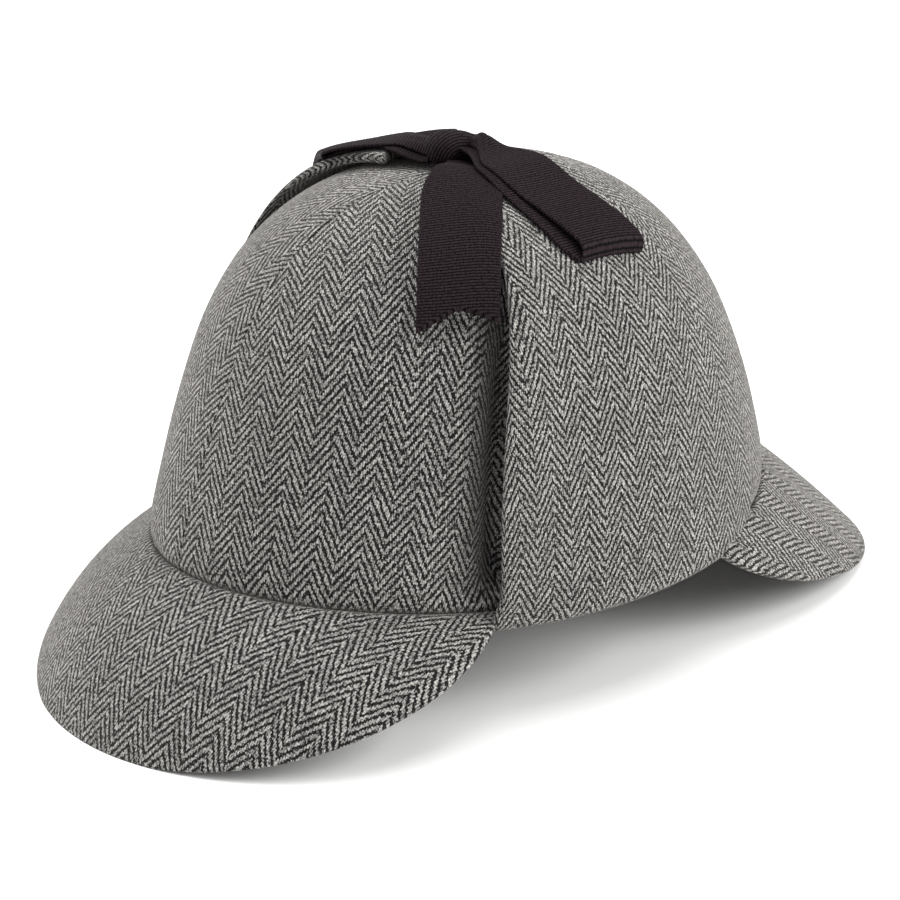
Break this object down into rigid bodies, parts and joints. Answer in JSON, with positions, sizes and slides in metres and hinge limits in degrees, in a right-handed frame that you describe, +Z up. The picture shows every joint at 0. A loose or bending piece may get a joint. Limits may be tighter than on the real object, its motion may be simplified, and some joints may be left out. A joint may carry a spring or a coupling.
{
  "type": "deerstalker cap",
  "caption": "Soft tweed deerstalker cap with a rounded panelled crown, sloping front and back peaks, and ear flaps folded up and tied on top with a ribbon bow.",
  "frame": {"origin": "on the surface the cap rests on, under the middle of its length and width", "axes": "+Z up; -Y towards the front of the cap; +X towards the wearer's left"},
  "size_m": [0.1692, 0.305, 0.16],
  "materials": {
    "tweed": "woven wool herringbone in dark and light grey, matt with a soft nap",
    "grosgrain": "black ribbed ribbon, slightly lustrous"
  },
  "bodies": {
    "root": {"crown_panel_front_left": "tweed", "crown_panel_front_right": "tweed", "crown_panel_back_left": "tweed", "crown_panel_back_right": "tweed", "front_peak": "tweed", "back_peak": "tweed", "ear_flap_left": "tweed", "ear_flap_right": "tweed", "bow_knot": "grosgrain", "bow_loop_left": "grosgrain", "bow_loop_right": "grosgrain", "ribbon_tail_left": "grosgrain", "ribbon_tail_right": "grosgrain"}
  },
  "joints": []
}
